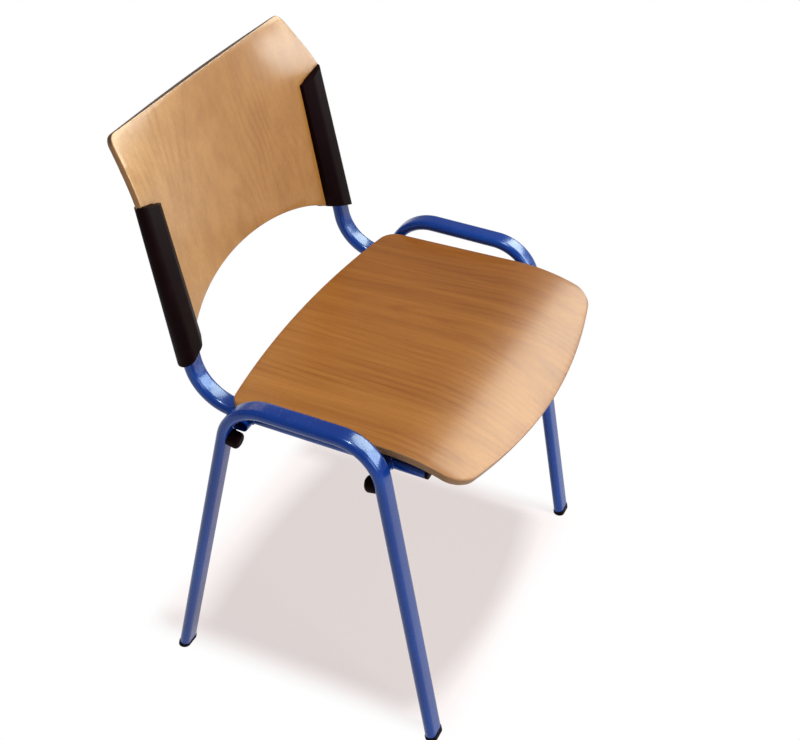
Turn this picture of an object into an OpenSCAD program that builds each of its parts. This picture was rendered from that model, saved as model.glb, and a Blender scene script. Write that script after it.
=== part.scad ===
// Four-legged stacking chair: bent flat-oval tube frame, moulded plywood seat and back.
// Lengths are in millimetres. The chair stands on z = 0 and faces -Y; left and right are the sitter's.

/* [Frame tube] */
// Width of the flat-oval tube, across the chair
tube_w = 30; // [26:1:34]
// Thickness of the flat-oval tube, in the plane of its bends
tube_t = 15; // [13:0.5:17]
// Wall of the tube
tube_wall = 1.5; // [1:0.1:2]

/* [Leg frames] */
// Clearance between a side of the seat and the leg frame beside it
seat_side_gap = 4; // [2:0.5:10]
// Height of the side rails' top face above the seat's top face
rail_rise = 24.5; // [10:0.5:40]
// Distance between the front and rear leg axes on the floor
foot_spread = 388; // [360:1:420]
// Distance between the leg axes where they would meet the rail's axis
rail_run = 198.5; // [180:0.5:220]
// Radius of the two top bends, on the tube's axis
leg_bend_r = 62; // [50:1:70]

/* [Seat and back tubes] */
// How far the seat reaches out beyond the axis of the L-shaped tube under it
seat_overhang = 24; // [20:0.5:34]
// Gap between the seat tubes and the seat, which the spacers fill
seat_lift = 11.5; // [9:0.5:16]
// Distance of the seat tubes' front ends ahead of the feet's middle
seat_tube_front = 151; // [140:1:165]
// Distance behind the feet's middle where the seat and back runs would meet
back_corner = 168; // [155:1:185]
// Radius of the bend from the seat run to the back run
back_bend_r = 66; // [60:1:90]
// Lean of the back from upright, in degrees
back_lean = 12.9; // [8:0.1:18]
// Length of the back run, from the meeting point to the tube's top end
back_run = 262; // [240:1:280]

/* [Cross tubes] */
// Width of the cross tubes, fore and aft
cross_w = 24; // [18:1:28]
// How far a cross tube laps over the leg it is welded to
cross_lap = 8; // [5:0.5:12]

/* [Seat] */
// Width of the seat
seat_w = 468; // [400:1:520]
// Thickness of the seat plywood
seat_ply = 10.5; // [9:0.5:12]
// Front edge of the seat, ahead of the feet's middle
seat_front = 236; // [220:1:250]
// Rear edge of the seat, behind the feet's middle
seat_rear = 134; // [115:1:140]
// Bow of the front edge over the full width
seat_front_bow = 32; // [10:1:45]
// Bow of the rear edge over the full width
seat_rear_bow = 20; // [5:1:35]
// Height of the seat's top face above the floor, above the feet's middle
seat_z = 449.5; // [445:0.5:456]
// Slope of the seat's flat part, rising towards the front, in degrees
seat_slope = 2; // [0:0.1:3]
// Radius of the rolled front
seat_roll_r = 259; // [200:1:300]
// Distance ahead of the feet's middle where the roll begins
seat_roll_start = 91; // [85:1:110]

/* [Back] */
// Thickness of the back plywood
back_ply = 8; // [7:0.5:9]
// How far the back's shoulders reach out beyond the back tubes' axes
shoulder_reach = 16; // [8:0.5:18]
// How much narrower than the shoulders each side is at the top edge, before the corners are rounded
back_taper = 20; // [0:0.5:26]
// Top edge of the back, measured along the lean from the tubes' meeting point
back_top = 361; // [340:1:380]
// Middle of the arched lower edge, measured the same way
arch_top = 116.5; // [105:0.5:130]
// Height of the arch's ellipse
arch_rise = 77; // [60:1:90]
// How far the arch's ellipse would reach beyond the plywood's edge in a sleeve
arch_beyond = 16.5; // [8:0.5:36]
// Radius of the back's hollow, seen from above
back_curve_r = 700; // [600:10:900]
// Radius of the two top corners
back_corner_r = 12; // [8:1:45]

/* [Sleeves, caps and buffers] */
// Wall of the moulded sleeves over the back tubes
sleeve_wall = 2.6; // [2:0.1:3.5]
// How much those walls thicken from the top of a sleeve to its lower end
sleeve_flare = 3.6; // [0:0.2:5]
// Lower end of a sleeve at its outer side, measured along the lean
sleeve_low = 60; // [50:1:64]
// Top of a sleeve at its outer side, measured the same way
sleeve_top = 279; // [274:1:290]
// Height of a foot cap's visible rim
cap_rim = 6; // [4:0.5:9]
// Diameter of a stacking buffer
buffer_d = 22; // [16:1:24]
// How far a stacking buffer stands out of its leg
buffer_proud = 16; // [10:1:20]

/* [Hidden] */

$fn = 48;

// One overrun serves every cut, one gap every push fit, and one gap every seat and coped weld
overrun = 2;
fit_gap = 0.15;
touch_gap = 0.05;
// A bend is drawn in this much all round, and the straight runs lap into it
bend_draw = 0.05;
bend_lap = 1;

// Colours
blue = [0.11, 0.24, 0.55];
beech = [0.80, 0.61, 0.40];
black = [0.07, 0.06, 0.06];
zinc = [0.75, 0.76, 0.78];

// Leg frames
frame_x = seat_w / 2 + seat_side_gap + tube_w / 2;
frame_w = 2 * frame_x + tube_w;
rail_top = seat_z + rail_rise;
rail_z = rail_top - tube_t / 2;
leg_foot_y = foot_spread / 2;
leg_top_y = rail_run / 2;
leg_lean = atan2(leg_foot_y - leg_top_y, rail_z);
function leg_y(z) = leg_foot_y + (leg_top_y - leg_foot_y) * z / rail_z;
leg_end_y = leg_y(cap_rim);

// Seat and back tubes
seat_tube_x = seat_w / 2 - seat_overhang;
seat_tube_z = seat_z - seat_ply / cos(seat_slope) - seat_lift - tube_t / 2;
back_dir = [sin(back_lean), cos(back_lean)];

// Cross tubes lie flat, level with the seat tubes
cross_z = seat_tube_z;
cross_y = leg_y(cross_z) - tube_t / 2 / cos(leg_lean) + cross_lap - cross_w / 2;
cope_deep = 2;

// Foot caps and plugs
cap_proud = 1;
stem_len = 22;
plug_head = 4;

// Stacking buffers, just below the middle of the cross tubes
buffer_drop = 9;
buffer_z = cross_z - buffer_drop;
buffer_stem_d = 8;
buffer_stem_len = 6;
buffer_edge = 5;

// Seat fasteners
screw_y = 70;
screw_d = 6;
screw_clear = 0.3;
screw_head_d = 12;
screw_head_h = 3.5;
socket_d = 4.5;
socket_deep = 2;
nut_d = 9;
nut_len = 7.5;
nut_inset = 0.3;
thread_gap = 0.1;
spacer_len = 38;
spacer_w = 27;
spacer_skirt = 4;

// Seat outline and profile
seat_half = seat_w / 2;
seat_front_r = 32;
seat_rear_r = 26;
arc_steps = 14;
bow_steps = 8;
arch_steps = 16;
function seat_top(y) = seat_z - y * tan(seat_slope);
function seat_under(y) = seat_top(y) - seat_ply / cos(seat_slope);
roll_centre = [-seat_roll_start, seat_top(-seat_roll_start)]
    - seat_roll_r * [sin(seat_slope), cos(seat_slope)];
roll_angle = 42;

// Back outline; heights t are measured along the lean from the tubes' meeting point
back_half = seat_tube_x + shoulder_reach;
back_top_half = back_half - back_taper;
sleeve_half_w = tube_w / 2 + sleeve_wall;
sleeve_half_t = tube_t / 2 + sleeve_wall;
sleeve_out = seat_tube_x + sleeve_half_w;
// How far the clamp reaches in from the back tube's axis, at its top and low down
clamp_reach = 27;
clamp_low_reach = 27.5;
clamp_top_x = seat_tube_x - clamp_reach;
clamp_low_x = seat_tube_x - clamp_low_reach;
sleeve_top_drop = 15;
sleeve_inner_top = sleeve_top - sleeve_top_drop;
web_t = 1.5;
slot_depth_x = seat_tube_x - tube_w / 2 - web_t;
arch_half = slot_depth_x + arch_beyond;
clamp_low_t = arch_t(clamp_low_x);
lip_x = clamp_low_x - overrun;
// The plywood's edge stands this far behind the back tube's axis, which sets the hollow's depth
edge_set_back = 3.25;
back_hollow = edge_set_back + slot_depth_x * slot_depth_x / back_curve_r / 2;
back_deep = back_hollow + 2 * back_ply;
slot_gap = 0.2;
lip_t = 3;
front_lip_t = 4.5;
ring_steps = 5;
shoulder_gap = 0.3;
roll_back_start = sleeve_line_t(slot_depth_x);
roll_back_power = 1.5;
back_columns = 22;
back_roll_rows = 8;

// Depth of the back's front face ahead of the tube axis, across (x) and up (t)
function roll_share(t) = t <= roll_back_start ? 1
    : 1 - pow((t - roll_back_start) / (back_top - roll_back_start), roll_back_power);
function face_v(x, t) = -back_hollow + roll_share(t) * x * x / 2 / back_curve_r;
probe = 0.5;
function face_slope(x, t) = [(face_v(x + probe, t) - face_v(x - probe, t)) / probe / 2,
    (face_v(x, t + probe) - face_v(x, t - probe)) / probe / 2];
function face_normal(x, t) = let (s = face_slope(x, t), n = [-s[0], -s[1], 1]) n / norm(n);
function face_point(x, t, depth) = [x, t, face_v(x, t)] - depth * face_normal(x, t);

// Back fasteners
back_screw_in = 21.5;
back_screw_x = seat_tube_x - back_screw_in;
back_screw_rise = 50;
back_screw_drop = 32;
back_screw_ts = [sleeve_low + back_screw_rise, sleeve_inner_top - back_screw_drop];
back_screw_d = 4;
back_screw_head_d = 7.6;
back_screw_head_h = 2.4;
back_screw_bite = 5.5;
back_socket_d = 3;
back_socket_deep = 1.4;
head_sunk = 1;

// The origin is at the middle of the chair's depth
top_reach_x = back_top_half - back_corner_r;
top_reach_t = back_top + back_ply * face_normal(top_reach_x, back_top)[1];
top_reach_v = min(face_point(0, back_top, back_ply)[2],
    face_point(top_reach_x, top_reach_t, back_ply)[2]);
rear_reach = back_corner + back_top * back_dir[0] - top_reach_v * back_dir[1];
middle_y = (rear_reach - seat_front) / 2;

// Plane geometry shared by the outlines and the tube paths
function unit(v) = v / norm(v);
function turn(a, b, c) = acos(unit(b - a) * unit(c - b));
function left_turn(a, b, c) = (b - a)[0] * (c - b)[1] - (b - a)[1] * (c - b)[0] > 0;
function tangent_len(a, b, c, r) = r * tan(turn(a, b, c) / 2);
function bend_start(a, b, c, r) = b + unit(a - b) * tangent_len(a, b, c, r);
function bend_end(a, b, c, r) = b + unit(c - b) * tangent_len(a, b, c, r);
function bend_centre(a, b, c, r) = b + unit(unit(a - b) + unit(c - b)) * r / cos(turn(a, b, c) / 2);
function heading(v) = atan2(v[1], v[0]);
function blend(a, c, b, n) = [for (i = [0:n]) let (s = i / n)
    a * (1 - s) * (1 - s) + c * 2 * s * (1 - s) + b * s * s];
function mirrored(points) = [for (i = [len(points) - 2:-1:1]) [-points[i][0], points[i][1]]];

// Flat oval, w wide along X and t thick along Y
module oval(w, t) {
    square([w - t, t], center = true);
    for (side = [-1, 1]) translate([side * (w - t) / 2, 0]) circle(d = t);
}

// Solid of an oval section swept along a path in the XY plane, wide side across the plane
module oval_run(path, radius, w, t) {
    last = len(path) - 1;
    for (i = [0:last - 1]) {
        from = i == 0 ? path[0] : bend_end(path[i - 1], path[i], path[i + 1], radius);
        to = i == last - 1 ? path[last] : bend_start(path[i], path[i + 1], path[i + 2], radius);
        lap_from = i == 0 ? 0 : bend_lap;
        lap_to = i == last - 1 ? 0 : bend_lap;
        translate(from - unit(to - from) * lap_from) rotate([0, 0, heading(to - from)])
            rotate([0, 90, 0]) linear_extrude(norm(to - from) + lap_from + lap_to) oval(w, t);
    }
    if (last > 1) for (i = [1:last - 1]) {
        centre = bend_centre(path[i - 1], path[i], path[i + 1], radius);
        start = bend_start(path[i - 1], path[i], path[i + 1], radius);
        end = bend_end(path[i - 1], path[i], path[i + 1], radius);
        first = left_turn(path[i - 1], path[i], path[i + 1]) ? start : end;
        translate(centre) rotate([0, 0, heading(first - centre)])
            rotate_extrude(angle = turn(path[i - 1], path[i], path[i + 1]), $fn = 96)
                translate([radius, 0]) rotate(90) oval(w - 2 * bend_draw, t - 2 * bend_draw);
    }
}

// Hollow tube along the same path; its bore runs out of both ends
module hollow_tube(path, radius) {
    last = len(path) - 1;
    bore = [for (i = [0:last]) i == 0 ? path[0] + unit(path[0] - path[1]) * overrun
        : i == last ? path[last] + unit(path[last] - path[last - 1]) * overrun : path[i]];
    difference() {
        oval_run(path, radius, tube_w, tube_t);
        oval_run(bore, radius, tube_w - 2 * tube_wall, tube_t - 2 * tube_wall);
    }
}

// From a drawing plane (depth, height) to the chair's side plane
module side_plane() rotate([90, 0, 90]) children();

// From (across, up the lean, forward) to the chair
module back_plane() translate([0, back_corner, seat_tube_z]) rotate([90 - back_lean, 0, 0]) children();

// Everything is placed from the feet's middle, then centred
module placed() translate([0, -middle_y, 0]) children();

// Side 1 is the sitter's left, side -1 the sitter's right
module on_side(side) { if (side > 0) children(); else mirror([1, 0, 0]) children(); }

leg_path = [[-leg_end_y, cap_rim], [-leg_top_y, rail_z], [leg_top_y, rail_z], [leg_end_y, cap_rim]];
seat_back_path = [[-seat_tube_front, seat_tube_z], [back_corner, seat_tube_z],
    [back_corner, seat_tube_z] + back_run * back_dir];

// Along a leg's axis from its tube end: local Z points up the leg; end 1 is rear, -1 front
module at_leg_end(end) {
    if (end > 0) translate([frame_x, leg_end_y, cap_rim]) rotate([leg_lean, 0, 0]) children();
    else mirror([0, 1, 0]) at_leg_end(1) children();
}

// On a leg's inner face at buffer height: local Z points into the frame
module at_buffer(end) {
    if (end > 0) translate([frame_x, leg_y(buffer_z), buffer_z])
        rotate([leg_lean, 0, 0]) rotate([90, 0, 0]) translate([0, 0, tube_t / 2]) children();
    else mirror([0, 1, 0]) at_buffer(1) children();
}

// Bent leg frame: an upturned U with its legs splayed fore and aft
module leg_frame(side) {
    color(blue) placed() on_side(side) difference() {
        translate([frame_x, 0, 0]) side_plane() hollow_tube(leg_path, leg_bend_r);
        for (end = [-1, 1]) at_buffer(end) translate([0, 0, -tube_wall - overrun])
            cylinder(d = buffer_stem_d + 2 * fit_gap, h = tube_wall + 2 * overrun);
    }
}

// L-shaped tube that carries the seat and then the back
module seat_back_tube(side) {
    color(blue) placed() on_side(side) difference() {
        translate([seat_tube_x, 0, 0]) side_plane() hollow_tube(seat_back_path, back_bend_r);
        for (y = [-screw_y, screw_y])
            translate([seat_tube_x, y, seat_tube_z - tube_t / 2 - overrun])
                cylinder(d = screw_d + 2 * screw_clear, h = tube_t + 2 * overrun);
    }
}

// Cross tube in three lengths between the legs and the seat tubes, coped to both; end 1 is rear
module cross_tube(end) {
    reach = frame_x - tube_w / 2 + cope_deep;
    color(blue) placed() difference() {
        translate([-reach, end * cross_y, cross_z]) rotate([0, 90, 0]) rotate(90)
            linear_extrude(2 * reach) difference() {
                oval(cross_w, tube_t);
                oval(cross_w - 2 * tube_wall, tube_t - 2 * tube_wall);
            }
        for (side = [-1, 1]) on_side(side) {
            translate([frame_x, 0, 0]) side_plane()
                oval_run(leg_path, leg_bend_r, tube_w + 2 * touch_gap, tube_t + 2 * touch_gap);
            translate([seat_tube_x, 0, 0]) side_plane()
                oval_run(seat_back_path, back_bend_r, tube_w + 2 * touch_gap, tube_t + 2 * touch_gap);
        }
    }
}

// Half of the seat's outline, from the middle of its rear edge round to the middle of its front
function seat_bow(x, bow) = bow * x * x / seat_half / seat_half;
function seat_half_outline() = let (
    rear_x = seat_half - seat_rear_r,
    front_x = seat_half - seat_front_r,
    rear_y = seat_rear - seat_bow(rear_x, seat_rear_bow),
    front_y = -seat_front + seat_bow(front_x, seat_front_bow),
    rear_fall = seat_rear_r * 2 * seat_rear_bow * rear_x / seat_half / seat_half,
    front_rise = seat_front_r * 2 * seat_front_bow * front_x / seat_half / seat_half,
    rear_corner = [seat_half, rear_y - rear_fall],
    front_corner = [seat_half, front_y + front_rise])
    concat(
        [for (i = [0:bow_steps - 1]) let (x = rear_x * i / bow_steps)
            [x, seat_rear - seat_bow(x, seat_rear_bow)]],
        blend([rear_x, rear_y], rear_corner, rear_corner - [0, seat_rear_r], arc_steps),
        blend(front_corner + [0, seat_front_r], front_corner, [front_x, front_y], arc_steps),
        [for (i = [bow_steps - 1:-1:0]) let (x = front_x * i / bow_steps)
            [x, -seat_front + seat_bow(x, seat_front_bow)]]);

// Side profile of the moulded seat: a flat part that turns down into the rolled front
module seat_profile() {
    far = 2 * seat_roll_r;
    translate(roll_centre) rotate(-seat_slope) {
        translate([0, seat_roll_r - seat_ply]) square([far, seat_ply]);
        intersection() {
            difference() {
                circle(r = seat_roll_r, $fn = 180);
                circle(r = seat_roll_r - seat_ply, $fn = 180);
            }
            polygon([[0, 0], [0, far], [-far * sin(roll_angle), far * cos(roll_angle)]]);
        }
    }
}

// Seat of moulded beech plywood, with blind holes for the insert nuts
module seat_shell() {
    half = seat_half_outline();
    color(beech) placed() difference() {
        intersection() {
            translate([-seat_half - overrun, 0, 0]) side_plane()
                linear_extrude(seat_w + 2 * overrun) seat_profile();
            linear_extrude(rail_top + overrun) polygon(concat(half, mirrored(half)));
        }
        for (side = [-1, 1], y = [-screw_y, screw_y])
            translate([side * seat_tube_x, y, seat_under(y) - overrun])
                cylinder(d = nut_d + 2 * fit_gap, h = nut_len + overrun + fit_gap);
    }
}

// Arch of the back's lower edge, and the slanted lines of a sleeve's top and lower end
function arch_t(x) = arch_top - arch_rise * (1 - sqrt(1 - x * x / arch_half / arch_half));
function sleeve_line_t(x) = sleeve_inner_top
    + (sleeve_top - sleeve_inner_top) * (x - clamp_top_x) / (sleeve_out - clamp_top_x);
function sleeve_floor_t(x) = sleeve_low
    + (clamp_low_t - sleeve_low) * (sleeve_out - x) / (sleeve_out - clamp_low_x);

// Half of the back's outline, from the arch's middle round to the middle of the top edge
function back_half_outline() = let (
    low = [for (i = [0:arch_steps]) let (x = clamp_low_x * sin(90 * i / arch_steps)) [x, arch_t(x)]],
    heel = [slot_depth_x, sleeve_floor_t(slot_depth_x)],
    notch = [slot_depth_x, sleeve_line_t(slot_depth_x) + shoulder_gap],
    shoulder = [back_half, sleeve_line_t(back_half) + shoulder_gap],
    corner = [back_top_half, back_top],
    fall = unit(shoulder - corner))
    concat(low, [heel, notch, shoulder],
        blend(corner + back_corner_r * fall, corner, corner - [back_corner_r, 0], arc_steps),
        [[0, back_top]]);

// Rows of the moulded slab: one long straight stretch, then the part that rolls back
function slab_rows() = concat([0], [for (i = [0:back_roll_rows])
    roll_back_start + (back_top + back_ply - roll_back_start) * i / back_roll_rows]);
function slab_xs() = [for (i = [0:back_columns]) (back_half + overrun) * (2 * i / back_columns - 1)];

// Curved slab that the back is cut from: hollow at the sleeves and straight along its top
module back_slab() {
    xs = slab_xs();
    ts = slab_rows();
    nx = len(xs);
    nt = len(ts);
    count = nx * nt;
    points = [for (depth = [0, back_ply], t = ts, x = xs) face_point(x, t, depth)];
    front = [for (r = [0:nt - 2], c = [0:nx - 2]) let (p = r * nx + c)
        each [[p, p + nx, p + nx + 1], [p, p + nx + 1, p + 1]]];
    rear = [for (f = front) [f[2] + count, f[1] + count, f[0] + count]];
    rim = concat([for (c = [0:nx - 1]) c], [for (r = [1:nt - 1]) r * nx + nx - 1],
        [for (c = [nx - 2:-1:0]) (nt - 1) * nx + c], [for (r = [nt - 2:-1:1]) r * nx]);
    edge = [for (i = [0:len(rim) - 1]) let (a = rim[i], b = rim[(i + 1) % len(rim)])
        each [[a, b, b + count], [a, b + count, a + count]]];
    polyhedron(points, concat(front, rear, edge), convexity = 4);
}

// Back of moulded beech plywood, notched over the sleeves and drilled for its screws
module back_shell() {
    half = back_half_outline();
    color(beech) placed() back_plane() difference() {
        intersection() {
            back_slab();
            translate([0, 0, -back_deep]) linear_extrude(2 * back_deep)
                polygon(concat(half, mirrored(half)));
        }
        for (side = [-1, 1], t = back_screw_ts)
            translate([side * back_screw_x, t, back_rear_v() - overrun])
                cylinder(d = back_screw_d + 2 * fit_gap, h = back_screw_bite + overrun + fit_gap);
    }
}

// Rear face of the plywood at the screws, and the seat of their heads, ahead of the tube axis
function back_rear_v() = ply_v(back_screw_x, back_ply);
function screw_seat_v() = back_rear_v() - lip_t + head_sunk;

// Height of a surface of the plywood at x, at a depth below its front face
function ply_v(x, depth) = face_point(x + depth * face_normal(x, sleeve_low)[0], sleeve_low, depth)[2];

// Ring round a sleeve's section, its walls grown by some thickness: a jacket round the tube that
// runs straight out to the front and rear lips of the clamp
inner_round = [seat_tube_x - (tube_w - tube_t) / 2, 0];
outer_round = [seat_tube_x + (tube_w - tube_t) / 2, 0];
lip_front = [lip_x, ply_v(lip_x, -front_lip_t)];
lip_rear = [lip_x, ply_v(lip_x, back_ply + lip_t)];
function leaving(lip, round, side) = 180 + atan((lip - round)[1] / (lip - round)[0])
    + side * acos(sleeve_half_t / norm(lip - round));
function arc(centre, radius, from, to, steps) = [for (i = [0:steps])
    let (a = from + (to - from) * i / steps) centre + radius * [cos(a), sin(a)]];
function sleeve_ring(grown) = let (
    radius = sleeve_half_t + grown,
    front = leaving(lip_front, inner_round, -1),
    rear = leaving(lip_rear, outer_round, 1) - 360)
    concat([lip_front + [0, grown / sin(front)]],
        arc(inner_round, radius, front, 90, ring_steps),
        arc(outer_round, radius, 90, rear, 3 * ring_steps),
        [lip_rear + [0, grown / sin(rear)]]);

// Tapered body of a sleeve, and the line that its ends are cut to
module sleeve_body() {
    ends = [sleeve_low - overrun, sleeve_top + overrun];
    rings = [for (t = ends) sleeve_ring(sleeve_flare * (sleeve_top - t) / (sleeve_top - sleeve_low))];
    n = len(rings[0]);
    points = [for (end = [0, 1], p = rings[end]) [p[0], ends[end], p[1]]];
    sides = [for (i = [0:n - 1]) let (j = (i + 1) % n) [i, i + n, j + n, j]];
    polyhedron(points, concat([[for (i = [0:n - 1]) i], [for (i = [n - 1:-1:0]) i + n]], sides));
}
module sleeve_outline() {
    far_x = sleeve_out + sleeve_flare + overrun;
    polygon([[clamp_top_x, sleeve_inner_top], [far_x, sleeve_line_t(far_x)],
        [far_x, sleeve_floor_t(far_x)], [clamp_low_x, clamp_low_t]]);
}

// Section of the slot that takes the plywood's edge
module sleeve_slot() {
    slot_out = slot_depth_x + slot_gap;
    beyond = lip_x - overrun;
    polygon([[slot_out, ply_v(slot_out, -slot_gap)], [beyond, ply_v(beyond, -slot_gap)],
        [beyond, ply_v(beyond, back_ply + slot_gap)],
        [slot_out, ply_v(slot_out, back_ply + slot_gap)]]);
}

// Moulded sleeve over a back tube, holding the plywood's edge in its slot
module back_sleeve(side) {
    bore_path = [seat_back_path[0], seat_back_path[1], seat_back_path[2] + fit_gap * back_dir];
    color(black) placed() on_side(side) difference() {
        back_plane() intersection() {
            sleeve_body();
            translate([0, 0, -back_deep]) linear_extrude(2 * back_deep) sleeve_outline();
        }
        back_plane() translate([0, sleeve_top + overrun, 0]) rotate([90, 0, 0])
            linear_extrude(sleeve_top - sleeve_low + 2 * overrun) sleeve_slot();
        translate([seat_tube_x, 0, 0]) side_plane()
            oval_run(bore_path, back_bend_r, tube_w + 2 * fit_gap, tube_t + 2 * fit_gap);
        back_plane() for (t = back_screw_ts) translate([back_screw_x, t, 0]) {
            translate([0, 0, screw_seat_v() - back_deep])
                cylinder(d = back_screw_head_d + 2 * fit_gap, h = back_deep);
            translate([0, 0, screw_seat_v() - overrun])
                cylinder(d = back_screw_d + 2 * fit_gap, h = lip_t + 2 * overrun);
        }
    }
}

// Screws driven from behind through each sleeve's clamp into the plywood
module back_screws() {
    color(zinc) placed() for (side = [-1, 1]) on_side(side) back_plane()
        for (t = back_screw_ts) translate([back_screw_x, t, screw_seat_v()]) {
            cylinder(d = back_screw_d, h = back_rear_v() + back_screw_bite - screw_seat_v());
            difference() {
                translate([0, 0, -back_screw_head_h])
                    cylinder(d = back_screw_head_d, h = back_screw_head_h);
                translate([0, 0, -back_screw_head_h - overrun])
                    cylinder(d = back_socket_d, h = back_socket_deep + overrun, $fn = 6);
            }
        }
}

// Black cap on a leg: a stem in the tube and a rim whose sole lies flat on the floor
module foot_cap(side, end) {
    color(black) placed() on_side(side) {
        intersection() {
            at_leg_end(end) translate([0, 0, -2 * cap_rim]) linear_extrude(2 * cap_rim)
                oval(tube_w + 2 * cap_proud, tube_t + 2 * cap_proud);
            translate([0, -foot_spread, 0]) cube([frame_w, 2 * foot_spread, rail_top]);
        }
        at_leg_end(end) linear_extrude(stem_len)
            oval(tube_w - 2 * tube_wall - 2 * fit_gap, tube_t - 2 * tube_wall - 2 * fit_gap);
    }
}

// Black plug in a seat tube's front end
module tube_plug(side) {
    color(black) placed() on_side(side) translate([seat_tube_x, -seat_tube_front, seat_tube_z])
        rotate([90, 0, 0]) {
            linear_extrude(plug_head) oval(tube_w, tube_t);
            translate([0, 0, -stem_len]) linear_extrude(stem_len)
                oval(tube_w - 2 * tube_wall - 2 * fit_gap, tube_t - 2 * tube_wall - 2 * fit_gap);
        }
}

// Domed buffer on a leg's inner face, its stem pushed through the tube's wall
module buffer(side, end) {
    core = buffer_d / 2 - buffer_edge;
    color(black) placed() on_side(side) at_buffer(end) {
        translate([0, 0, -buffer_stem_len]) cylinder(d = buffer_stem_d, h = buffer_stem_len);
        cylinder(d = buffer_d, h = buffer_proud - buffer_edge);
        translate([0, 0, buffer_proud - buffer_edge]) rotate_extrude() {
            square([core, buffer_edge]);
            translate([core, 0]) intersection() {
                circle(r = buffer_edge);
                square(buffer_edge);
            }
        }
    }
}

// Moulded spacer between a seat tube and the seat, hollowed to the tube and sloped to the plywood
module seat_spacer(side, end) {
    y = end * screw_y;
    low = seat_tube_z;
    front = y - spacer_len / 2;
    rear = y + spacer_len / 2;
    color(black) placed() on_side(side) difference() {
        translate([seat_tube_x - spacer_w / 2, 0, 0]) side_plane() linear_extrude(spacer_w)
            polygon([[front, low], [rear, low], [rear, seat_under(rear) - touch_gap],
                [front, seat_under(front) - touch_gap]]);
        translate([seat_tube_x, rear + overrun, seat_tube_z]) rotate([90, 0, 0])
            linear_extrude(spacer_len + 2 * overrun) spacer_seat();
        translate([seat_tube_x, y, low]) cylinder(d = screw_d + 2 * screw_clear, h = tube_w);
    }
}

// What the spacer leaves free: the tube's section, and all that is below its shoulders
module spacer_seat() {
    oval(tube_w + 2 * touch_gap, tube_t + 2 * touch_gap);
    translate([-tube_w, -tube_w]) square([2 * tube_w, tube_w + spacer_skirt]);
}

// Socket-headed screws from under the seat tubes up into the seat's insert nuts
module seat_screws() {
    under = seat_tube_z - tube_t / 2;
    color(zinc) placed() for (side = [-1, 1], y = [-screw_y, screw_y])
        translate([side * seat_tube_x, y, under]) {
            cylinder(d = screw_d, h = seat_under(y) + nut_len - nut_inset - under);
            difference() {
                translate([0, 0, -screw_head_h]) cylinder(d = screw_head_d, h = screw_head_h);
                translate([0, 0, -screw_head_h - overrun])
                    cylinder(d = socket_d, h = socket_deep + overrun, $fn = 6);
            }
        }
}

// Insert nuts pressed into the underside of the seat
module seat_insert_nuts() {
    color(zinc) placed() for (side = [-1, 1], y = [-screw_y, screw_y])
        translate([side * seat_tube_x, y, seat_under(y) + nut_inset]) difference() {
            cylinder(d = nut_d, h = nut_len - nut_inset);
            translate([0, 0, -overrun]) cylinder(d = screw_d + 2 * thread_gap, h = nut_len + 2 * overrun);
        }
}

leg_frame(1);  // leg_frame_left
leg_frame(-1);  // leg_frame_right
seat_back_tube(1);  // seat_back_tube_left
seat_back_tube(-1);  // seat_back_tube_right
cross_tube(-1);  // front_cross_tube
cross_tube(1);  // rear_cross_tube
seat_shell();
back_shell();
back_sleeve(1);  // back_sleeve_left
back_sleeve(-1);  // back_sleeve_right
foot_cap(1, -1);  // foot_cap_front_left
foot_cap(-1, -1);  // foot_cap_front_right
foot_cap(1, 1);  // foot_cap_rear_left
foot_cap(-1, 1);  // foot_cap_rear_right
tube_plug(1);  // tube_plug_left
tube_plug(-1);  // tube_plug_right
buffer(1, -1);  // buffer_front_left
buffer(-1, -1);  // buffer_front_right
buffer(1, 1);  // buffer_rear_left
buffer(-1, 1);  // buffer_rear_right
seat_spacer(1, -1);  // seat_spacer_front_left
seat_spacer(-1, -1);  // seat_spacer_front_right
seat_spacer(1, 1);  // seat_spacer_rear_left
seat_spacer(-1, 1);  // seat_spacer_rear_right
seat_screws();
seat_insert_nuts();
back_screws();
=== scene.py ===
from math import atan2, cos, hypot, pi, radians, sin, sqrt, tan

import bmesh
import bpy
from mathutils import Matrix, Vector


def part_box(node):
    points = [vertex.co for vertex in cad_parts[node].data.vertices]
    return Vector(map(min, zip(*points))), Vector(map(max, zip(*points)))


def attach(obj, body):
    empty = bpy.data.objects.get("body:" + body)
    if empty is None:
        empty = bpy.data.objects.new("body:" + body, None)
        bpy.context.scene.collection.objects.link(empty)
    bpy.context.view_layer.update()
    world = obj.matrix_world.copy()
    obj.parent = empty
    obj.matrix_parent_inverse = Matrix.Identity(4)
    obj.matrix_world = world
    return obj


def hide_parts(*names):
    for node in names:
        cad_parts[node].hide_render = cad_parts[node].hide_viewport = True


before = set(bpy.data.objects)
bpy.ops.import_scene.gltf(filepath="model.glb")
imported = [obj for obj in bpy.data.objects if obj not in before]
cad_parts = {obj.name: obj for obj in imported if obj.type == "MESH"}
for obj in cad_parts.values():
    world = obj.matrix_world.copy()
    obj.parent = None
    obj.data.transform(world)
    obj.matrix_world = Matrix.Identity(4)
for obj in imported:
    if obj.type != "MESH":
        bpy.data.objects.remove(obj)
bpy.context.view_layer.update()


# The two leg frames. Each is one length of flat-oval steel tube, bent cold round a former into an
# upturned U whose legs splay fore and aft. The frame is cleaned, powder coated blue and baked.
tube_width = 0.030
tube_thickness = 0.015
tube_round_steps = 10
tube_bend_steps = 28
frame_x = 0.253
rail_z = 0.4665
rail_half_run = 0.09925
leg_foot_y = 0.194
leg_bend_radius = 0.062
cap_rim = 0.006
leg_slope = (leg_foot_y - rail_half_run) / rail_z
leg_lean = atan2(leg_foot_y - rail_half_run, rail_z)
frame_low, frame_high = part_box("leg_frame_left")
feet_middle = Vector((0, (frame_low.y + frame_high.y) / 2, 0))
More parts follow.
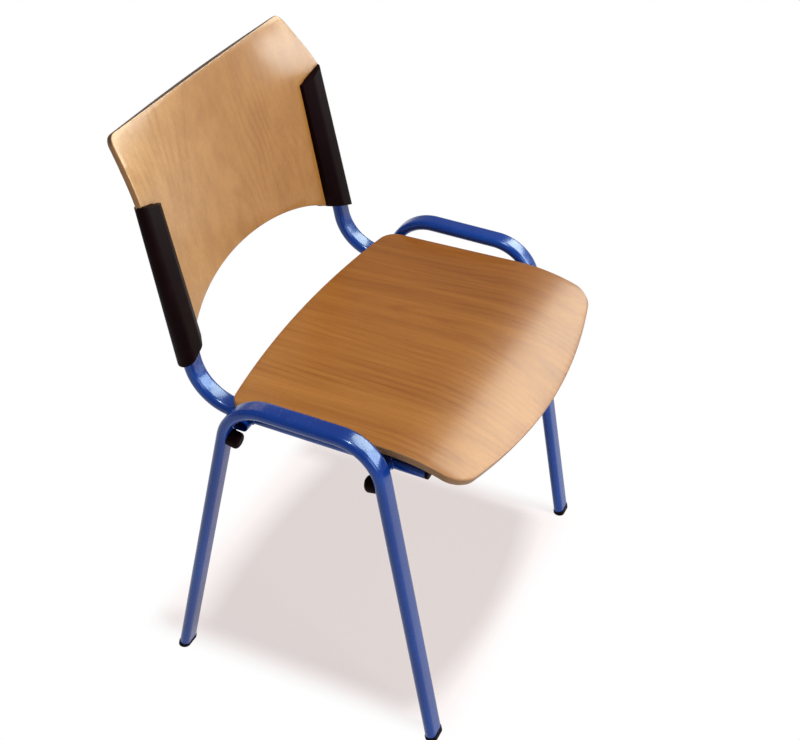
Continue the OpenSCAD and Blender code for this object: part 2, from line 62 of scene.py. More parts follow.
sharp_angle = radians(35)


def tint(red, green, blue):
    """A colour as a paint chart gives it, 0 to 255, in the linear values that a shader takes."""
    return tuple(((part / 255 + 0.055) / 1.055) ** 2.4 for part in (red, green, blue)) + (1.0,)


class Link:
    """A socket of a finish. Sums on it add Math nodes, and node() adds a node of any kind."""

    def __init__(self, tree, socket=None):
        self.tree = tree
        self.socket = socket

    def node(self, kind, settings=None, values=None, output=0):
        """Add a node: first its settings, then its sockets' values or links."""
        added = self.tree.nodes.new("ShaderNode" + kind)
        for name, setting in (settings or {}).items():
            setattr(added, name, setting)
        for name, value in (values or {}).items():
            if isinstance(value, Link):
                self.tree.links.new(value.socket, added.inputs[name])
            else:
                added.inputs[name].default_value = value
        return Link(self.tree, added.outputs[output] if len(added.outputs) else None)

    def other_output(self, name):
        """Another output of the node that this socket is on."""
        return Link(self.tree, self.socket.node.outputs[name])

    def math(self, operation, first, second=0.0):
        return self.node("Math", {"operation": operation}, {0: first, 1: second})

    def __add__(self, other):
        return self.math("ADD", self, other)

    def __radd__(self, other):
        return self.math("ADD", other, self)

    def __sub__(self, other):
        return self.math("SUBTRACT", self, other)

    def __rsub__(self, other):
        return self.math("SUBTRACT", other, self)

    def __mul__(self, other):
        return self.math("MULTIPLY", self, other)

    def __rmul__(self, other):
        return self.math("MULTIPLY", other, self)

    def __pow__(self, other):
        return self.math("POWER", self, other)

    def __abs__(self):
        return self.math("ABSOLUTE", self)

    def sine(self):
        return self.math("SINE", self)

    def within(self, low, high):
        """0 below low, 1 above high, and smooth between them."""
        return self.node("MapRange", {"interpolation_type": "SMOOTHSTEP"},
                         {"Value": self, "From Min": low, "From Max": high})

    def mix(self, under, over, blend="MIX"):
        """Lay one colour over another by this socket's share, on a Mix node's colour sockets."""
        share, first, second, result = 0, 6, 7, 2
        return self.node("Mix", {"data_type": "RGBA", "blend_type": blend},
                         {share: self, first: under, second: over}, result)

    def noise(self, place, scale, detail=2.0, roughness=0.5):
        return self.node("TexNoise", values={"Vector": place, "Scale": scale, "Detail": detail,
                                             "Roughness": roughness})

    def bump(self, height, strength, distance):
        return self.node("Bump", values={"Height": height, "Strength": strength,
                                         "Distance": distance})

    def surface(self, values):
        """Close the finish with a Principled surface of these values."""
        shader = self.node("BsdfPrincipled", values=values)
        self.node("OutputMaterial", values={"Surface": shader})


def new_finish(name):
    """An empty material, the first link of its node tree, and the place on the piece."""
    finish = bpy.data.materials.new(name)
    finish.use_nodes = True
    finish.node_tree.nodes.clear()
    tree = Link(finish.node_tree)
    return finish, tree, tree.node("TexCoord", output="Object")


def powder_coat():
    """Blue polyester powder coat: a fine orange peel under gloss, a little dust and rub."""
    dust_share = 0.05
    fine_peel_share = 0.2
    finish, tree, place = new_finish("blue_powder_coat")
    cloud = tree.noise(place, scale=9.0, detail=3.0)
    rub = tree.noise(place, scale=60.0, detail=6.0, roughness=0.65)
    peel = tree.noise(place, scale=420.0, detail=2.0)
    fine_peel = tree.noise(place, scale=1600.0, detail=1.0)
    dust = rub.within(0.58, 0.78) * dust_share
    blue = cloud.within(0.3, 0.7).mix(tint(6, 50, 134), tint(10, 62, 152))
    tree.surface({
        "Base Color": dust.mix(blue, tint(90, 128, 176)),
        "Roughness": 0.22 + rub.within(0.35, 0.8) * 0.1,
        "Specular IOR Level": 0.45,
        "Specular Tint": (0.55, 0.75, 1.0, 1),
        "Coat Weight": 0.15,
        "Coat Roughness": 0.1,
        "Normal": tree.bump(peel + fine_peel * fine_peel_share, strength=0.05, distance=0.0005)})
    return finish


blue_coat = powder_coat()


def tube_ring(bm):
    """The outline edges of the tube's flat oval in the XY plane, its long side along X."""
    bmesh.ops.create_grid(bm, x_segments=1, y_segments=1, size=0.5)
    bmesh.ops.scale(bm, verts=bm.verts, vec=(tube_width, tube_thickness, 1))
    bmesh.ops.bevel(bm, geom=bm.verts[:], affect="VERTICES", offset=tube_thickness / 2,
                    segments=tube_round_steps, profile=0.5, material=-1)
    bmesh.ops.remove_doubles(bm, verts=bm.verts, dist=tube_thickness / 1000)
    bmesh.ops.delete(bm, geom=bm.faces[:], context="FACES_ONLY")
    return bm.edges[:]


def ring_verts(ring):
    return list({vert for edge in ring for vert in edge.verts})


def draw_on(bm, ring, travel):
    """Draw a ring of edges on by a straight travel, and return the new ring."""
    made = bmesh.ops.extrude_edge_only(bm, edges=ring)["geom"]
    new_verts = [part for part in made if isinstance(part, bmesh.types.BMVert)]
    bmesh.ops.translate(bm, verts=new_verts, vec=travel)
    return [part for part in made if isinstance(part, bmesh.types.BMEdge)
            and all(vert in made for vert in part.verts)]


def draw_tube(bm, ring, path, bend_radius):
    """Draw a ring along straight runs, with a round bend at each inner point, and cap both ends."""
    bmesh.ops.contextual_create(bm, geom=ring)
    here = path[0]
    for corner, after in zip(path[1:], path[2:]):
        run_in = (corner - here).normalized()
        run_out = (after - corner).normalized()
        turn = run_in.angle(run_out)
        reach = bend_radius * tan(turn / 2)
        bend_from = corner - run_in * reach
        ring = draw_on(bm, ring, bend_from - here)
        axis = run_in.cross(run_out).normalized()
        centre = bend_from + axis.cross(run_in) * bend_radius
        last = bmesh.ops.spin(bm, geom=ring_verts(ring) + ring, cent=centre, axis=axis,
                              angle=turn, steps=tube_bend_steps)["geom_last"]
        ring = [part for part in last if isinstance(part, bmesh.types.BMEdge)]
        here = corner + run_out * reach
    ring = draw_on(bm, ring, path[-1] - here)
    bmesh.ops.contextual_create(bm, geom=ring)
    bmesh.ops.recalc_face_normals(bm, faces=bm.faces)


def make_piece(name, bm, finishes, nodes=()):
    """Turn a finished bmesh into a smooth object that rides on the chair's one body."""
    mesh = bpy.data.meshes.new(name)
    bm.to_mesh(mesh)
    bm.free()
    for finish in finishes:
        mesh.materials.append(finish)
    mesh.shade_smooth()
    mesh.set_sharp_from_angle(angle=sharp_angle)
    piece = bpy.data.objects.new(name, mesh)
    bpy.context.scene.collection.objects.link(piece)
    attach(piece, "root")
    if nodes:
        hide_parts(*nodes)


def bend_tube(name, node, path, tip, bend_radius):
    """Bend one tube along a path. Its ring is tipped about X first, square to the first run."""
    bm = bmesh.new()
    ring = tube_ring(bm)
    bmesh.ops.rotate(bm, verts=bm.verts, cent=(0, 0, 0), matrix=Matrix.Rotation(tip, 3, "X"))
    bmesh.ops.translate(bm, verts=bm.verts, vec=path[0])
    draw_tube(bm, ring, path, bend_radius)
    bmesh.ops.translate(bm, verts=bm.verts, vec=feet_middle)
    make_piece(name, bm, [blue_coat], [node])


def leg_y(height):
    """How far a leg's axis stands from the feet's middle at a height above the floor."""
    return leg_foot_y - leg_slope * height


leg_path = ((-leg_y(cap_rim), cap_rim), (-rail_half_run, rail_z),
            (rail_half_run, rail_z), (leg_y(cap_rim), cap_rim))
for side, hand in ((1, "left"), (-1, "right")):
    path = [Vector((side * frame_x, y, z)) for y, z in leg_path]
    bend_tube("leg_frame_tube_" + hand, "leg_frame_" + hand, path, -leg_lean, leg_bend_radius)


# The two seat and back tubes. Each is a length of the same flat-oval steel tube, bent once into an
# L: it runs back under the seat, then up behind it with a lean, and the cross tubes are welded to it.
seat_tube_x = 0.210
seat_tube_z = 0.420
seat_tube_front_y = -0.151
back_corner_y = 0.168
back_run = 0.262
back_lean = radians(12.9)
back_bend_radius = 0.066
up_the_back = Vector((0, sin(back_lean), cos(back_lean)))

for side, hand in ((1, "left"), (-1, "right")):
    front = Vector((side * seat_tube_x, seat_tube_front_y, seat_tube_z))
    corner = Vector((front.x, back_corner_y, seat_tube_z))
    path = [front, corner, corner + up_the_back * back_run]
    bend_tube("seat_and_back_tube_" + hand, "seat_back_tube_" + hand, path, pi / 2, back_bend_radius)


# The two cross tubes are narrower flat-oval steel tube, level with the seat tubes, each in three
# lengths coped to them and to the legs. The frame is welded by hand before it is coated, so the
# ripples of the beads show through the coat.
cross_tube_z = seat_tube_z
cross_tube_y = 0.0970
cross_tube_width = 0.024
cross_tube_end_x = 0.2402
tube_round = tube_thickness / 2
tube_flat = (tube_width - tube_thickness) / 2
cross_tube_flat = (cross_tube_width - tube_thickness) / 2
bead_radius = 0.0019
bead_segments = 12
bead_coarse_steps = 24
bead_end_size = 0.3
bead_end_share = 0.2
ripple_pitch = 0.0024
ripple_share = 0.07
ripple_steps = 4
fewest_ripples = 3


def coat_node(node, finish):
    """Finish a piece that is shown with the mesh of its CAD node."""
    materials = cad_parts[node].data.materials
    materials.clear()
    materials.append(finish)


def bead_size(share, ripples):
    """A bead's size at a share of its run: rounded off at both ends, with a swell at each ripple."""
    past = max(0, abs(2 * share - 1) - (1 - bead_end_share)) / bead_end_share
    dome = sqrt(1 - past ** 2 * (1 - bead_end_size ** 2))
    return dome * (1 - ripple_share + ripple_share * cos(2 * pi * share * ripples))


def seam_points(seam, steps):
    """Points at even steps along a seam, a function of an angle that goes half way round."""
    return [seam(-pi / 2 + pi * step / steps) for step in range(steps + 1)]


def lay_bead(bm, seam):
    """One run of weld along a seam, with a ripple for each puddle."""
    coarse = seam_points(seam, bead_coarse_steps)
    length = sum((there - here).length for here, there in zip(coarse, coarse[1:]))
    ripples = max(fewest_ripples, round(length / ripple_pitch))
    steps = ripple_steps * ripples
    route = seam_points(seam, steps)
    heading = (route[1] - route[0]).normalized()
    turned = heading.to_track_quat("Z", "Y").to_matrix().to_4x4()
    size = bead_end_size
    ring = bmesh.ops.create_circle(bm, segments=bead_segments, radius=bead_radius * size,
                                   matrix=Matrix.Translation(route[0]) @ turned)["verts"]
    ring = list({edge for vert in ring for edge in vert.link_edges})
    bmesh.ops.contextual_create(bm, geom=ring)
    for step in range(1, steps + 1):
        here = route[step]
        ring = draw_on(bm, ring, here - route[step - 1])
        ahead = (route[min(step + 1, steps)] - route[step - 1]).normalized()
        bmesh.ops.rotate(bm, verts=ring_verts(ring), cent=here,
                         matrix=heading.rotation_difference(ahead).to_matrix())
        heading = ahead
        wanted = bead_size(step / steps, ripples)
        bmesh.ops.scale(bm, verts=ring_verts(ring), vec=(wanted / size,) * 3,
                        space=Matrix.Translation(-here))
        size = wanted
    bmesh.ops.contextual_create(bm, geom=ring)


def seam_on_seat_tube(side, edge, end, half):
    """The seam where half of a cross tube's end meets the round side of a seat tube."""
    def seam(angle):
        reach = tube_flat + tube_round * cos(angle)
        return Vector((side * seat_tube_x + edge * reach,
                       end * cross_tube_y + half * (cross_tube_flat + tube_round * cos(angle)),
                       cross_tube_z + tube_round * sin(angle)))
    return seam


def seam_on_leg(side, end):
    """The seam where the outer half of a cross tube's end meets the round side of a leg."""
    def seam(angle):
        y = cross_tube_y + cross_tube_flat + tube_round * cos(angle)
        z = cross_tube_z + tube_round * sin(angle)
        off = min(1, abs(y - leg_y(z)) / tube_round)
        x = frame_x - tube_flat - tube_round * sqrt(1 - off * off)
        return Vector((side * min(x, cross_tube_end_x), end * y, z))
    return seam


for node in ("front_cross_tube", "rear_cross_tube"):
    coat_node(node, blue_coat)

bm = bmesh.new()
for side in (-1, 1):
    for end in (-1, 1):
        for edge in (-1, 1):
            for half in (-1, 1):
                lay_bead(bm, seam_on_seat_tube(side, edge, end, half))
        lay_bead(bm, seam_on_leg(side, end))
bmesh.ops.recalc_face_normals(bm, faces=bm.faces)
bmesh.ops.translate(bm, verts=bm.verts, vec=feet_middle)
make_piece("weld_beads", bm, [blue_coat])


# The seat is a press-moulded shell of beech veneers, glued crosswise in layers and cut to outline.
# Its faces are sanded and lacquered, and its edge is rounded over, stained and lacquered.
seat_width = 0.468
seat_ply = 0.0105
seat_layers = 7
seat_front_y = -0.236
seat_rear_y = 0.134
seat_front_bow = 0.032
seat_rear_bow = 0.020
seat_front_corner = 0.0273
seat_rear_corner = 0.0222
seat_height = 0.4495
seat_slope = radians(2)
roll_radius = 0.259
roll_start_y = -0.091
seat_slices_across = 40
seat_slices_along = 48
edge_round = 0.0016
edge_round_steps = 3
corner_steps = 12
same_place = 1e-6
mirror_gap = 1e-5
roll_centre_y = roll_start_y - roll_radius * sin(seat_slope)
roll_centre_z = seat_height - roll_start_y * tan(seat_slope) - roll_radius * cos(seat_slope)


def shaded(colour, share):
    """A colour darkened to a share of itself."""
    return tuple(part * share for part in colour[:3]) + (1.0,)


def beech_veneer(name, lean, light, dark, heart_x, heart_depth, drift, gloss, shade_full_x):
    """Lacquered beech face veneer: faint growth rings cut flat, fine streaks and short flecks.

    The grain runs up the piece's Y axis once lean turns it flat. heart_x and heart_depth place
    the heart of the log under the sheet, and drift is how fast the cut climbs out of it. From
    shade_start_x to shade_full_x across the sheet, the colour is darkened towards the far side.
    This is a painted shade that stands in for the sheen that leaves the near side lighter.
    """
    shade_start_x = -0.22
    far_side_shade = (0.75, 0.62, 0.35, 1)
    heart_wander = 0.10
    ring_pitch = 0.011
    ring_wander = 0.05
    ring_ripple = 0.004
    ring_share = 0.34
    band_share = 0.42
    streak_share = 0.24
    fibre_share = 0.14
    fleck_share = 0.30
    fleck_shade = 0.45
    finish, tree, place = new_finish(name)
    flat = tree.node("Mapping", {"vector_type": "TEXTURE"}, {"Vector": place, "Rotation": (lean, 0, 0)})
    across = tree.node("SeparateXYZ", values={"Vector": flat})
    along = across.other_output("Y")

    def grain(across_scale, along_scale, detail=2.0, roughness=0.5):
        """Noise drawn out along the grain, by its scales across and along it."""
        stretch = (across_scale, along_scale, across_scale)
        drawn_out = tree.node("Mapping", values={"Vector": flat, "Scale": stretch})
        return tree.noise(drawn_out, 1.0, detail, roughness)

    wander = grain(6, 1.4) - 0.5
    ripple = grain(45, 6) - 0.5
    patches = grain(14, 3)
    bands = grain(38, 1.1, roughness=0.55)
    streaks = grain(320, 7, detail=3.0, roughness=0.6)
    fibres = grain(1700, 45)
    flecks = grain(900, 150, detail=1.0).within(0.66, 0.74)
    aside = across - heart_x + wander * heart_wander
    below = along * drift + heart_depth
    radius = (aside * aside + below * below) ** 0.5 + wander * ring_wander + ripple * ring_ripple
    rings = (radius * (2 * pi / ring_pitch)).sine() * 0.5 + 0.5
    figure = (rings ** 3 * patches.within(0.35, 0.7) * ring_share + bands.within(0.3, 0.7) * band_share
              + streaks.within(0.3, 0.7) * streak_share)
    # Painted shade: the colour darkens across the sheet to its far side, in place of the sheen that
    # lightens the near side.
    far_side_shade_share = across.within(shade_start_x, shade_full_x)
    wood = far_side_shade_share.mix(figure.mix(light, dark), far_side_shade, "MULTIPLY")
    lined = (fibres.within(0.45, 0.7) * fibre_share).mix(wood, dark)
    flecked = (flecks * fleck_share).mix(lined, shaded(dark, fleck_shade))
    tree.surface({
        "Base Color": flecked,
        "Roughness": 0.36 + fibres * 0.1 - rings * 0.03,
        "Specular IOR Level": 0.26,
        "Coat Weight": gloss,
        "Coat Roughness": 0.2,
        "Normal": tree.bump(fibres * 0.6 + streaks * 0.4 - flecks * 0.7, strength=0.07,
                            distance=0.0004)})
    return finish


def ply_edge(name, layers, light, dark):
    """The stained edge of the plywood: thin lines of veneer, and a painted shade that darkens the back's
    top edge where the light from above falls on it.
    """
    top_edge_shade_from_z = 0.752
    top_edge_shade_full_z = 0.760
    top_edge_shade_share = 0.85
    speckle_share = 0.4
    speckle_shade = 0.7
    waver_share = 0.02
    finish, tree, place = new_finish(name)
    depth = tree.node("Attribute", {"attribute_name": "ply_depth"}, output="Fac")
    grit = tree.noise(place, scale=900.0, detail=3.0)
    waver = (tree.noise(place, scale=25.0, detail=2.0) - 0.5) * waver_share
    lines = ((depth + waver) * (pi * layers)).sine()
    end_grain = (lines * lines).within(0.15, 0.9)
    brown = end_grain.mix(dark, light)
    speckled = (grit.within(0.55, 0.75) * speckle_share).mix(brown, shaded(dark, speckle_shade))
    height = tree.node("SeparateXYZ", values={"Vector": place}, output="Z")
    # Painted shade: the back's top edge, lit from above, is darkened to a deep brown.
    top_edge_shaded = (height.within(top_edge_shade_from_z, top_edge_shade_full_z) * top_edge_shade_share).mix(speckled, tint(64, 42, 22))
    tree.surface({
        "Base Color": top_edge_shaded,
        "Roughness": 0.42 + grit * 0.15,
        "Coat Weight": 0.1,
        "Coat Roughness": 0.25,
        "Normal": tree.bump(end_grain * 0.5 + grit * 0.5, strength=0.2, distance=0.0003)})
    return finish


def slice_sheet(bm, axis, low, high, count):
    """Cut a flat sheet across an axis into even strips between low and high."""
    for cut in range(1, count):
        point = Vector((0, 0, 0))
        point[axis] = low + (high - low) * cut / count
        normal = Vector((0, 0, 0))
        normal[axis] = 1
        bmesh.ops.bisect_plane(bm, geom=bm.verts[:] + bm.edges[:] + bm.faces[:], dist=same_place,
                               plane_co=point, plane_no=normal)


def close_shell(bm, thickness, depth_of):
    """Thicken a moulded sheet away from its face, round its rim, and note each point's depth."""
    face_share = 0.04
    bmesh.ops.reverse_faces(bm, faces=[face for face in bm.faces if face.normal.z < 0])
    bmesh.ops.solidify(bm, geom=bm.faces[:], thickness=thickness)
    sides = set()
    for face in bm.faces:
        depths = [depth_of(vert.co) for vert in face.verts]
        if max(depths) - min(depths) > thickness / 2:
            sides.add(face)
    rims = [edge for edge in bm.edges if len(sides.intersection(edge.link_faces)) == 1]
    bmesh.ops.bevel(bm, geom=rims, affect="EDGES", offset=edge_round, segments=edge_round_steps,
                    profile=0.5, material=-1)
    bmesh.ops.recalc_face_normals(bm, faces=bm.faces)
    store = bm.verts.layers.float.new("ply_depth")
    for vert in bm.verts:
        vert[store] = depth_of(vert.co) / thickness
    for face in bm.faces:
        if face_share < sum(vert[store] for vert in face.verts) / len(face.verts) < 1 - face_share:
            face.material_index = 1


def seat_depth(point):
    """Depth of a point below the seat's top face."""
    y = point.y - roll_centre_y
    z = point.z - roll_centre_z
    if y * cos(seat_slope) > z * sin(seat_slope):
        return roll_radius - y * sin(seat_slope) - z * cos(seat_slope)
    return roll_radius - hypot(y, z)


def seat_surface(y):
    """Height of the seat's top face: flat, then rolled down to the front."""
    if y > roll_start_y:
        return seat_height - y * tan(seat_slope)
    return roll_centre_z + sqrt(roll_radius ** 2 - (y - roll_centre_y) ** 2)


# Painted shade: the seat's beech is given darker colours than the back's, though it is the same wood, so
# that the seat, lit more from above, reads darker.
seat_face = beech_veneer("seat_beech_face", lean=0.0, light=tint(183, 122, 53), dark=tint(143, 82, 24),
                         heart_x=0.05, heart_depth=0.06, drift=0.16, gloss=0.13, shade_full_x=0.34)
seat_edge = ply_edge("seat_ply_edge", seat_layers, light=tint(168, 124, 74), dark=tint(116, 82, 46))

bm = bmesh.new()
half_width = seat_width / 2
length = seat_rear_y - seat_front_y
bmesh.ops.create_grid(bm, x_segments=1, y_segments=1, size=0.5)
bmesh.ops.scale(bm, verts=bm.verts, vec=(seat_width, length, 1))
bmesh.ops.translate(bm, verts=bm.verts, vec=(0, (seat_rear_y + seat_front_y) / 2, 0))
front_corners = [vert for vert in bm.verts if vert.co.y < 0]
rear_corners = [vert for vert in bm.verts if vert.co.y > 0]
for corners, size in ((front_corners, seat_front_corner), (rear_corners, seat_rear_corner)):
    bmesh.ops.bevel(bm, geom=corners, affect="VERTICES", offset=size, segments=corner_steps,
                    profile=0.5, material=-1)
slice_sheet(bm, 0, -half_width, half_width, seat_slices_across)
slice_sheet(bm, 1, seat_front_y, seat_rear_y, seat_slices_along)
for vert in bm.verts:
    bow = (vert.co.x / half_width) ** 2
    share = (vert.co.y - seat_front_y) / length
    front_y = seat_front_y + seat_front_bow * bow
    rear_y = seat_rear_y - seat_rear_bow * bow
    vert.co.y = front_y * (1 - share) + rear_y * share
    vert.co.z = seat_surface(vert.co.y)
close_shell(bm, seat_ply, seat_depth)
bmesh.ops.translate(bm, verts=bm.verts, vec=feet_middle)
make_piece("seat_plywood", bm, [seat_face, seat_edge], ["seat_shell"])


# The back is moulded of thinner beech plywood, hollowed for the sitter and rolled back to a
# straight top edge. Its lower edge is an arch, and its sides are notched over the sleeves' tops.
back_ply = 0.008
back_layers = 5
back_curve_radius = 0.700
back_hollow = 0.03
back_top = 0.361
roll_back_start = 0.2675
roll_back_power = 1.5
arch_top = 0.1165
arch_rise = 0.077
arch_half = 0.210
arch_steps = 20
clamp_x = 0.1825
slot_x = 0.1935
shoulder_x = 0.226
top_corner_x = 0.206
heel_t = 0.0733
notch_t = 0.2678
shoulder_t = 0.2788
top_corner_round = 0.011
back_slices_across = 20
back_slices_below = 14
back_slices_in_roll = 12
slope_step = 0.001
back_foot = Vector((0, back_corner_y, seat_tube_z))
off_the_back = Vector((0, -cos(back_lean), sin(back_lean)))


def back_surface(x, t):
    """How far the back's front face lies ahead of the tubes' axis, x across and t up that axis."""
    roll = 0.0
    if t > roll_back_start:
        roll = ((t - roll_back_start) / (back_top - roll_back_start)) ** roll_back_power
    return -back_hollow + (1 - roll) * x * x / 2 / back_curve_radius


def back_depth(point):
    """Depth of a point behind the back's front face."""
    x, t, ahead = point
    slope_x = (back_surface(x + slope_step, t) - back_surface(x - slope_step, t)) / slope_step / 2
    slope_t = (back_surface(x, t + slope_step) - back_surface(x, t - slope_step)) / slope_step / 2
    return (back_surface(x, t) - ahead) / sqrt(1 + slope_x ** 2 + slope_t ** 2)


# Painted light: the back's beech is given lighter colours than the seat's, though it is the same wood,
# standing in for the light and sheen that fall on its front.
back_face = beech_veneer("back_beech_face", lean=back_lean - pi / 2, light=tint(216, 166, 104),
                         dark=tint(186, 133, 71), heart_x=-0.02, heart_depth=0.05, drift=0.22,
                         gloss=0.32, shade_full_x=0.12)
back_edge = ply_edge("back_ply_edge", back_layers, light=tint(176, 129, 80), dark=tint(120, 86, 51))

bm = bmesh.new()
outline = []
for step in range(arch_steps + 1):
    x = clamp_x * sin(pi / 2 * step / arch_steps)
    outline.append((x, arch_top - arch_rise * (1 - sqrt(1 - (x / arch_half) ** 2))))
outline += [(slot_x, heel_t), (slot_x, notch_t), (shoulder_x, shoulder_t), (top_corner_x, back_top),
            (0, back_top)]
bm.faces.new([bm.verts.new((x, t, 0)) for x, t in outline])
top_corner = [vert for vert in bm.verts if vert.co.x > slot_x and vert.co.y > (shoulder_t + back_top) / 2]
bmesh.ops.bevel(bm, geom=top_corner, affect="VERTICES", offset=top_corner_round,
                segments=corner_steps, profile=0.5, material=-1)
slice_sheet(bm, 0, 0, shoulder_x, back_slices_across)
slice_sheet(bm, 1, 0, roll_back_start, back_slices_below)
slice_sheet(bm, 1, roll_back_start, back_top, back_slices_in_roll)
bmesh.ops.mirror(bm, geom=bm.verts[:] + bm.edges[:] + bm.faces[:], axis="X", merge_dist=mirror_gap)
for vert in bm.verts:
    vert.co.z = back_surface(vert.co.x, vert.co.y)
close_shell(bm, back_ply, back_depth)
to_chair = Matrix((Vector((1, 0, 0)), up_the_back, off_the_back)).transposed().to_4x4()
bmesh.ops.transform(bm, verts=bm.verts, matrix=Matrix.Translation(back_foot) @ to_chair)
bmesh.ops.translate(bm, verts=bm.verts, vec=feet_middle)
make_piece("back_plywood", bm, [back_face, back_edge], ["back_shell"])


# The black parts are injection moulded of polypropylene: sleeves slid over the back tubes, caps
# pushed into the legs, plugs in the seat tubes, stacking buffers on the legs and spacers under the
# seat. The mould leaves a fine grain and small rounded corners.
sleeve_rounding = 0.0009
plug_rounding = 0.0008
cap_rounding = 0.0006
spacer_rounding = 0.0006
buffer_rounding = 0.0004
rounding_steps = 2
flat_angle = radians(1)
corner_angle = radians(28)


def black_plastic():
    """Satin black polypropylene with a fine spark-eroded grain from the mould."""
    finish, tree, place = new_finish("black_plastic")
    grain = tree.noise(place, scale=1300.0, detail=3.0, roughness=0.6)
    rub = tree.noise(place, scale=35.0, detail=5.0, roughness=0.6)
    tree.surface({
        "Base Color": rub.within(0.35, 0.75).mix(tint(18, 2, 5), tint(25, 6, 10)),
        "Roughness": 0.48 + rub.within(0.3, 0.8) * 0.15,
        "Specular IOR Level": 0.04,
        "Normal": tree.bump(grain, strength=0.25, distance=0.0002)})
    return finish


black = black_plastic()


def mould(node, rounding):
    """A copy of a moulded CAD node in black, its corners rounded as a mould leaves them."""
    bm = bmesh.new()
    bm.from_mesh(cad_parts[node].data)
    bmesh.ops.remove_doubles(bm, verts=bm.verts, dist=same_place)
    bmesh.ops.dissolve_limit(bm, angle_limit=flat_angle, verts=bm.verts, edges=bm.edges)
    corners = [edge for edge in bm.edges if len(edge.link_faces) == 2
               and edge.calc_face_angle() > corner_angle]
    bmesh.ops.bevel(bm, geom=corners, affect="EDGES", offset=rounding, segments=rounding_steps,
                    profile=0.5, material=-1, clamp_overlap=True)
    bmesh.ops.triangulate(bm, faces=[face for face in bm.faces if len(face.verts) > 4])
    make_piece(node + "_moulding", bm, [black], [node])


for hand in ("left", "right"):
    mould("back_sleeve_" + hand, sleeve_rounding)
    mould("tube_plug_" + hand, plug_rounding)
    for end in ("front", "rear"):
        mould("foot_cap_" + end + "_" + hand, cap_rounding)
        mould("seat_spacer_" + end + "_" + hand, spacer_rounding)
        mould("buffer_" + end + "_" + hand, buffer_rounding)


# The screws and insert nuts are zinc-plated steel: four hold the seat from under its tubes, and
# four hold the back from behind. They are bought in and driven last.
def zinc_plate():
    """Bright zinc with the slight cloud that plating leaves."""
    finish, tree, place = new_finish("zinc_plate")
    cloud = tree.noise(place, scale=300.0, detail=4.0)
    tree.surface({
        "Base Color": cloud.within(0.3, 0.7).mix(tint(176, 178, 182), tint(206, 206, 204)),
        "Metallic": 1.0,
        "Roughness": 0.26 + cloud * 0.2,
        "Normal": tree.bump(cloud, strength=0.1, distance=0.0002)})
    return finish


zinc = zinc_plate()
for node in ("seat_screws", "seat_insert_nuts", "back_screws"):
    coat_node(node, zinc)


# The studio: a white floor that keeps the shadow under the chair, a large softbox ahead and a small
# one overhead, two windows that only gloss shows, and the camera where the photograph's outlines
# place it.
floor_half = 15.0
shadow_half_width = 0.205
shadow_half_depth = 0.20
glow_from_x = 0.27
glow_from_y = 0.25
shadow_glow = (1.05, 0.955, 0.93, 1)
shadow_glow_share = 0.58
fill_colour = (1.0, 0.90, 0.89, 1)
fill_strength = 0.18
white = (1, 1, 1, 1)
backdrop_in_gloss = 0.2


def rays(tree):
    """Three links that are 1 for what the camera sees, for what gloss shows and through glass."""
    seen = tree.node("LightPath")
    return seen, seen.other_output("Is Glossy Ray"), seen.other_output("Is Transmission Ray")


def studio_floor():
    """White floor that shows the camera a white ground and keeps the chair's shadow."""
    finish, tree, place = new_finish("studio_floor")
    scuff = tree.noise(place, scale=3.0, detail=3.0)
    paint = scuff.within(0.3, 0.7).mix(tint(250, 249, 249), tint(252, 251, 251))
    ground = tree.node("BsdfDiffuse", values={"Color": paint})
    across = tree.node("SeparateXYZ", values={"Vector": place})
    beside = abs(across).within(shadow_half_width, glow_from_x)
    before = abs(across.other_output("Y")).within(shadow_half_depth, glow_from_y)
    away = beside + before - beside * before
    glow = tree.node("Emission", values={"Color": away.mix(shadow_glow, white), "Strength": 1.0})
    seen, mirrored, through = rays(tree)
    share = (seen + mirrored + through) * (shadow_glow_share + away * (1 - shadow_glow_share))
    shown = tree.node("MixShader", values={0: share, 1: ground, 2: glow})
    tree.node("OutputMaterial", values={"Surface": shown})
    return finish


bm = bmesh.new()
bmesh.ops.create_grid(bm, x_segments=1, y_segments=1, size=floor_half)
floor_mesh = bpy.data.meshes.new("studio_floor")
bm.to_mesh(floor_mesh)
bm.free()
floor_mesh.materials.append(studio_floor())
floor = bpy.data.objects.new("studio_floor", floor_mesh)
bpy.context.scene.collection.objects.link(floor)

world = bpy.data.worlds.new("studio")
world.use_nodes = True
world.node_tree.nodes.clear()
air = Link(world.node_tree)
seen, mirrored, through = rays(air)
fill = air.node("Background", values={"Color": fill_colour, "Strength": fill_strength})
backdrop = air.node("Background", values={"Color": white, "Strength": 1.0})
backdrop_share = seen + through + mirrored * backdrop_in_gloss
shown = air.node("MixShader", values={0: backdrop_share, 1: fill, 2: backdrop})
air.node("OutputWorld", values={"Surface": shown})
bpy.context.scene.world = world


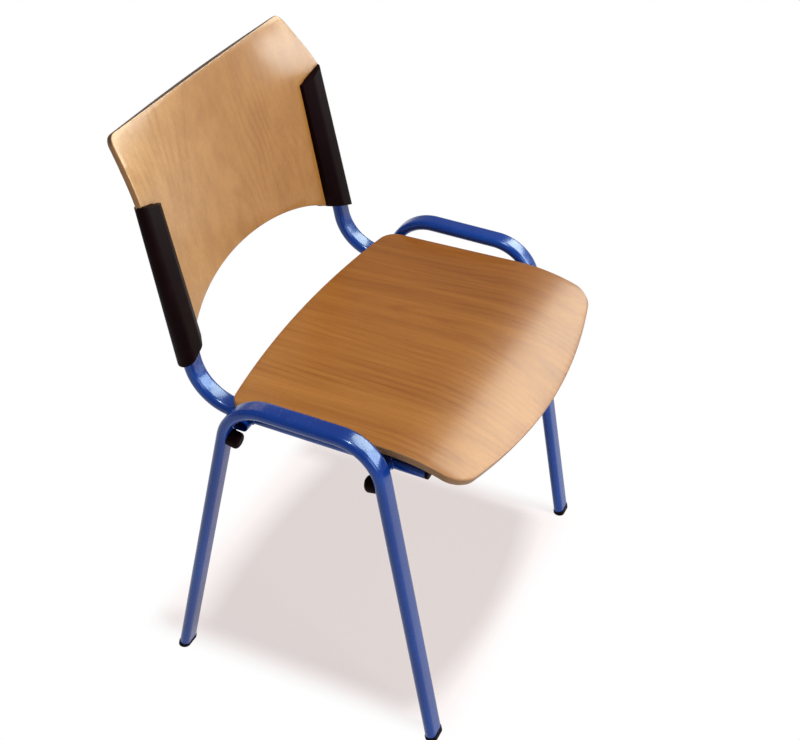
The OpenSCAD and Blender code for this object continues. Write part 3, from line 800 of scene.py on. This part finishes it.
def soft_light(name, place, target, size, watts, colour=(1, 1, 1), mirrored_only=False):
    """A square softbox at a place, turned to its target, or one that only gloss shows."""
    lamp = bpy.data.lights.new(name, "AREA")
    lamp.size = size
    lamp.energy = watts
    lamp.color = colour
    light = bpy.data.objects.new(name, lamp)
    light.location = place
    light.rotation_euler = (Vector(target) - Vector(place)).to_track_quat("-Z", "Y").to_euler()
    light.visible_diffuse = not mirrored_only
    bpy.context.scene.collection.objects.link(light)


soft_light("overhead_softbox", place=(0.15, -1.05, 7.0), target=(0, 0, 0.3), size=0.7, watts=290,
           colour=(0.98, 1.0, 1.0))
soft_light("front_softbox", place=(-1.2, -4.9, 2.8), target=(0, 0, 0.4), size=2.6, watts=110)
soft_light("high_window", place=(4.0, -1.7, 3.6), target=(0, 0, 0.5), size=2.6, watts=300,
           colour=(0.94, 1.0, 0.86), mirrored_only=True)
soft_light("low_window", place=(2.9, -3.75, 2.3), target=(0, 0, 0.5), size=2.4, watts=235,
           colour=(0.82, 0.95, 1.0), mirrored_only=True)

# The camera's place is measured from the feet's middle, as the photograph's outlines give it.
camera_from_feet = Vector((-1.466466, -0.662695, 1.569639))
camera_turn = radians(66.1756)
camera_dip = radians(36.4326)
camera_roll = radians(1.8356)
lens_length = 65.65
sensor_width = 36
ahead = Vector((sin(camera_turn) * cos(camera_dip), cos(camera_turn) * cos(camera_dip), -sin(camera_dip)))
level = Vector((cos(camera_turn), -sin(camera_turn), 0))
upward = level.cross(ahead)
right = level * cos(camera_roll) + upward * sin(camera_roll)
top = upward * cos(camera_roll) - level * sin(camera_roll)
lens = bpy.data.cameras.new("photo_camera")
lens.sensor_width = sensor_width
lens.lens = lens_length
camera = bpy.data.objects.new("photo_camera", lens)
camera.matrix_world = (Matrix.Translation(camera_from_feet + feet_middle)
                       @ Matrix((right, top, -ahead)).transposed().to_4x4())
bpy.context.scene.collection.objects.link(camera)
bpy.context.scene.camera = camera
bpy.context.scene.view_settings.view_transform = "Standard"
